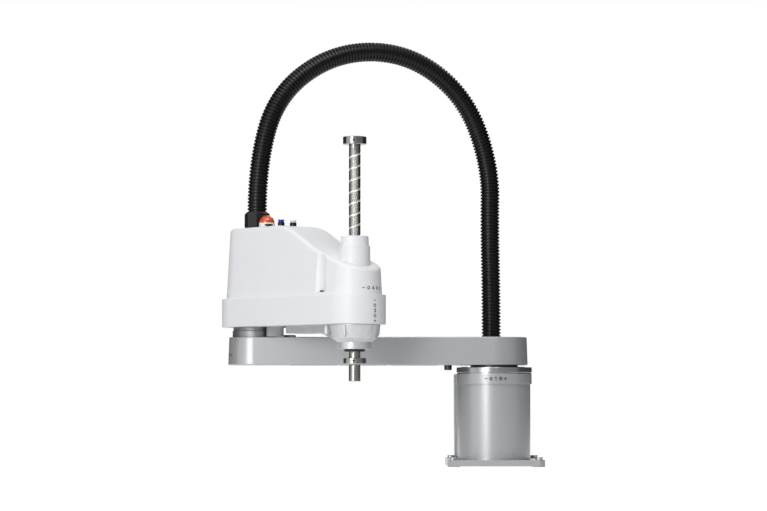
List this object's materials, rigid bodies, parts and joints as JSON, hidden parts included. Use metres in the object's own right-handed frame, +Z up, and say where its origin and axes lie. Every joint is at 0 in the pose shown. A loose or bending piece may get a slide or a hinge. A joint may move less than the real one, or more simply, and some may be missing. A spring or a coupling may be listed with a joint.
{
  "type": "scara robot",
  "caption": "Four-axis horizontal-arm assembly robot: bolted base column, two swinging arms, hollow ball-screw spline shaft with collars, and an arched cable duct.",
  "frame": {"origin": "axis of joint 1 at the mounting face of the base", "axes": "+Z up along joint 1; +Y towards the connector panel at the base's rear; at rest arm 1 points along -X and the base's front faces -Y"},
  "size_m": [0.569, 0.427, 0.7629],
  "materials": {
    "paint_silver": "silver-grey enamel on cast aluminium",
    "cover_white": "white ABS moulding",
    "ring_dark": "blackened, polished steel",
    "steel_dark": "black oxide steel",
    "steel_bright": "ground bearing steel",
    "cast_bare": "light grey cast aluminium",
    "panel_grey": "painted sheet steel",
    "plastic_black": "black polyamide",
    "duct_black": "black corrugated polyamide conduit",
    "motor_black": "black anodised motor case",
    "lens_orange": "translucent orange lens",
    "plastic_white": "white moulding",
    "ring_blue": "blue acetal",
    "board_green": "glass epoxy board",
    "belt_rubber": "neoprene with fibre cord",
    "seal_rubber": "nitrile seal",
    "brass_nickel": "nickel-plated brass"
  },
  "bodies": {
    "base": {"base_casting": "paint_silver", "connector_panel": "panel_grey", "panel_screws": "steel_dark", "cable_sockets": "steel_dark", "user_ports": "steel_bright", "base_air_fittings": "brass_nickel", "base_release_rings": "ring_blue", "duct_gland_base": "plastic_black", "j1_ring": "ring_dark", "j1_motor_plate": "cast_bare", "j1_motor": "motor_black", "cable_duct_rear": "duct_black"},
    "j1_cam": {"j1_wave_generator": "steel_bright"},
    "arm1": {"arm1_casting": "paint_silver", "j1_output_disc": "steel_dark", "arm1_output_screws": "steel_dark", "arm1_cap": "plastic_black", "j1_stop_bolt": "steel_dark", "j2_reducer_housing": "steel_dark", "j2_reducer_screws": "steel_dark", "j2_stop_block": "steel_dark", "cable_duct_front": "duct_black"},
    "arm2": {"arm2_casting": "cast_bare", "arm2_lower_cover": "cover_white", "arm2_top_cover": "cover_white", "shaft_sleeve": "cover_white", "cover_channel_screws": "steel_dark", "cover_back_screws": "steel_dark", "duct_gland_arm2": "plastic_black", "lamp_base": "plastic_white", "lamp_lens": "lens_orange", "air_fitting_blue": "brass_nickel", "air_fitting_ring_blue": "ring_blue", "air_fitting_white": "brass_nickel", "air_fitting_ring_white": "plastic_white", "arm2_upper_plate": "cast_bare", "plate_spacers": "steel_bright", "j2_motor": "motor_black", "j3_motor": "motor_black", "j4_motor": "motor_black", "j3_brake": "motor_black", "j2_output_disc": "steel_bright", "control_board": "board_green", "shaft_seal": "seal_rubber", "spline_bearing": "steel_bright", "ball_nut_bearing": "steel_bright", "j3_belt": "belt_rubber", "j4_belt": "belt_rubber"},
    "j2_cam": {"j2_wave_generator": "steel_bright"},
    "brake_button": {"brake_release_button": "plastic_black"},
    "spline": {"spline_nut": "steel_bright", "spline_pulley": "cast_bare"},
    "ball_nut": {"ball_screw_nut": "steel_bright", "ball_nut_pulley": "cast_bare"},
    "j3_pulley": {"j3_motor_pulley": "cast_bare"},
    "j4_pulley": {"j4_motor_pulley": "cast_bare"},
    "shaft": {"shaft": "steel_bright", "upper_collar": "steel_bright", "lower_collar": "steel_bright", "collar_set_screws": "steel_dark"}
  },
  "joints": [
    {"name": "j1_swing", "type": "hinge", "parent": "base", "child": "arm1", "pos_m": [0, 0, 0.178], "axis": [0, 0, 1], "range_deg": [-42, 222], "deforming": ["cable_duct_rear"]},
    {"name": "j2_swing", "type": "hinge", "parent": "arm1", "child": "arm2", "pos_m": [-0.425, 0, 0.245], "axis": [0, 0, 1], "range_deg": [-280.7, 19.3], "deforming": ["cable_duct_front"]},
    {"name": "j4_turn", "type": "hinge", "parent": "arm2", "child": "spline", "pos_m": [-0.24567, -0.20849, 0.24], "axis": [0, 0, 1], "range_deg": [-360, 360]},
    {"name": "j3_lift", "type": "slide", "parent": "spline", "child": "shaft", "axis": [0, 0, 1], "range_m": [-0.2, 0]},
    {"name": "ball_nut_turn", "type": "hinge", "parent": "spline", "child": "ball_nut", "pos_m": [-0.24567, -0.20849, 0.3], "axis": [0, 0, 1], "range_deg": [-10, 3610]},
    {"name": "j3_pulley_turn", "type": "hinge", "parent": "arm2", "child": "j3_pulley", "pos_m": [-0.35066, -0.08643, 0.282], "axis": [0, 0, 1], "range_deg": [-20, 7220]},
    {"name": "j4_pulley_turn", "type": "hinge", "parent": "arm2", "child": "j4_pulley", "pos_m": [-0.31023, -0.13343, 0.267], "axis": [0, 0, 1], "range_deg": [-725, 725]},
    {"name": "j1_cam_turn", "type": "hinge", "parent": "base", "child": "j1_cam", "pos_m": [0, 0, 0.156], "axis": [0, 0, 1], "range_deg": [-17765, 3365]},
    {"name": "j2_cam_turn", "type": "hinge", "parent": "arm2", "child": "j2_cam", "pos_m": [-0.425, 0, 0.233], "axis": [0, 0, 1], "range_deg": [-990, 14320]},
    {"name": "brake_button_press", "type": "slide", "parent": "arm2", "child": "brake_button", "axis": [0, 0, 1], "range_m": [-0.0013, 0], "stiffness_N_per_m": 400, "springref_m": 0.002}
  ],
  "couplings": [
    {"joint": "ball_nut_turn", "follows": "j3_lift", "rad_per_m": -314.16},
    {"joint": "j3_pulley_turn", "follows": "j3_lift", "rad_per_m": -628.32},
    {"joint": "j4_pulley_turn", "follows": "j4_turn", "ratio": 2},
    {"joint": "j1_cam_turn", "follows": "j1_swing", "ratio": -80},
    {"joint": "j2_cam_turn", "follows": "j2_swing", "ratio": -51}
  ]
}
